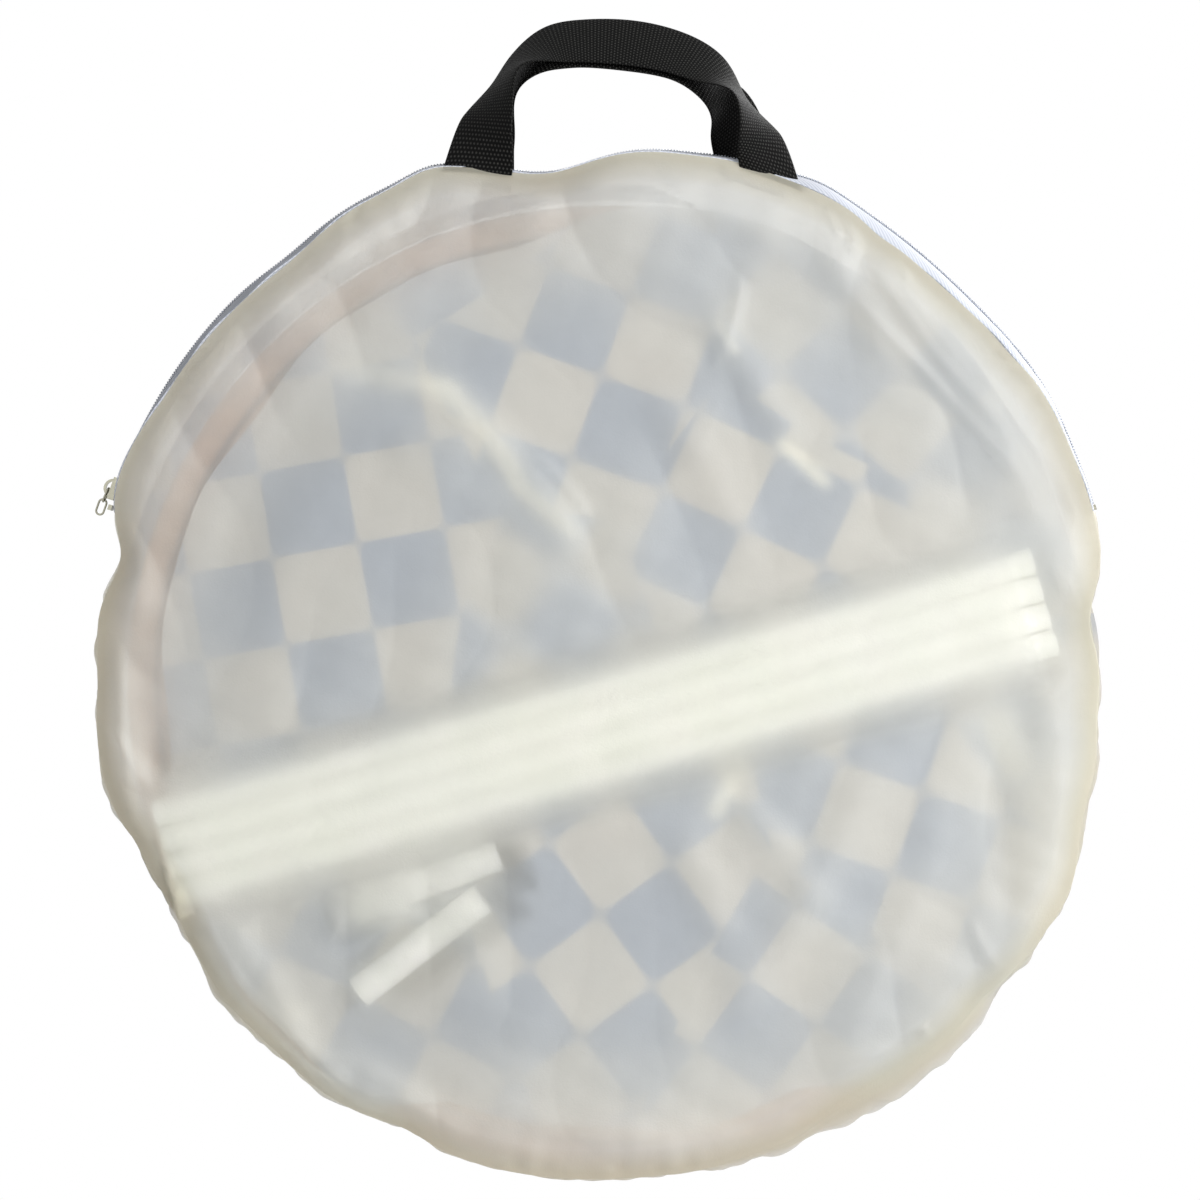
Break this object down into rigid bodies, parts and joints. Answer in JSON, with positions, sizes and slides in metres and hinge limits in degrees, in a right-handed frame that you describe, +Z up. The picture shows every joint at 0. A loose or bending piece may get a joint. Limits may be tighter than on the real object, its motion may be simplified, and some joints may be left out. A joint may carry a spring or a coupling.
{
  "type": "collapsible hoop cloth in a round zip carry bag",
  "caption": "Pop-up checked cloth on a twisted-down spring hoop with its poles, packed flat in a thin see-through round zip bag with two webbing handles.",
  "frame": {"origin": "the grip: the point under the two webbing bands by which the bag hangs", "axes": "+Z up, +X right seen from the front, the front panel faces -Y; the bag's axis is along Y, 260 mm below the origin"},
  "size_m": [0.4546, 0.0519, 0.5123],
  "materials": {
    "bag_cloth": "thin see-through coated polyester",
    "zip_tape": "white woven polyester tape",
    "zip_coil": "white nylon coil",
    "webbing": "black ribbed polypropylene webbing",
    "slider_metal": "nickel-plated zinc casting and wire",
    "spring_steel": "flat spring steel",
    "sleeve_cloth": "tan polyester binding",
    "check_cloth": "polyester with blue and cream checks",
    "tube_plastic": "off-white PVC tube"
  },
  "bodies": {
    "bag": {"back_panel": "bag_cloth", "front_panel_lower": "bag_cloth", "gusset": "bag_cloth", "zip_tape_back": "zip_tape", "zip_tape_front_ends": "zip_tape", "zip_coil_back": "zip_coil", "zip_coil_front_ends": "zip_coil", "zip_stops": "slider_metal", "hoop_sleeve": "sleeve_cloth", "hoop_spring": "spring_steel", "hoop_joiner": "spring_steel", "folded_cloth": "check_cloth", "pole_tube_1": "tube_plastic", "pole_tube_2": "tube_plastic", "pole_tube_3": "tube_plastic", "pole_tube_4": "tube_plastic", "pole_coupler_1": "tube_plastic", "pole_coupler_2": "tube_plastic"},
    "flap": {"front_panel_upper": "bag_cloth", "zip_tape_front": "zip_tape", "zip_coil_front": "zip_coil"},
    "front_handle": {"front_handle": "webbing"},
    "back_handle": {"back_handle": "webbing"},
    "zip_slider": {"slider_body": "slider_metal", "slider_bridge": "slider_metal"},
    "pull_ring": {"pull_ring": "slider_metal"},
    "pull_loop": {"pull_loop": "slider_metal"}
  },
  "joints": [
    {"name": "flap_fold", "type": "hinge", "parent": "bag", "child": "flap", "pos_m": [0, -0.0223, -0.16491], "axis": [1, 0, 0], "range_deg": [0, 120]},
    {"name": "front_handle_swing", "type": "hinge", "parent": "flap", "child": "front_handle", "pos_m": [-0.0564, -0.0183, -0.04187], "axis": [0.999, 0, -0.0436], "range_deg": [0, 120]},
    {"name": "back_handle_swing", "type": "hinge", "parent": "bag", "child": "back_handle", "pos_m": [-0.0576, 0.0183, -0.04219], "axis": [-0.9996, 0, 0.0278], "range_deg": [0, 120]},
    {"name": "zip_run", "type": "hinge", "parent": "bag", "child": "zip_slider", "pos_m": [0, 0, -0.26], "axis": [0, 1, 0], "range_deg": [0, 140]},
    {"name": "pull_ring_swing", "type": "hinge", "parent": "zip_slider", "child": "pull_ring", "pos_m": [-0.2189, 0, -0.18344], "axis": [0, 1, 0], "range_deg": [0, 100]},
    {"name": "pull_loop_swing", "type": "hinge", "parent": "pull_ring", "child": "pull_loop", "pos_m": [-0.22148, 0, -0.18941], "axis": [0, 1, 0], "range_deg": [0, 80]}
  ]
}
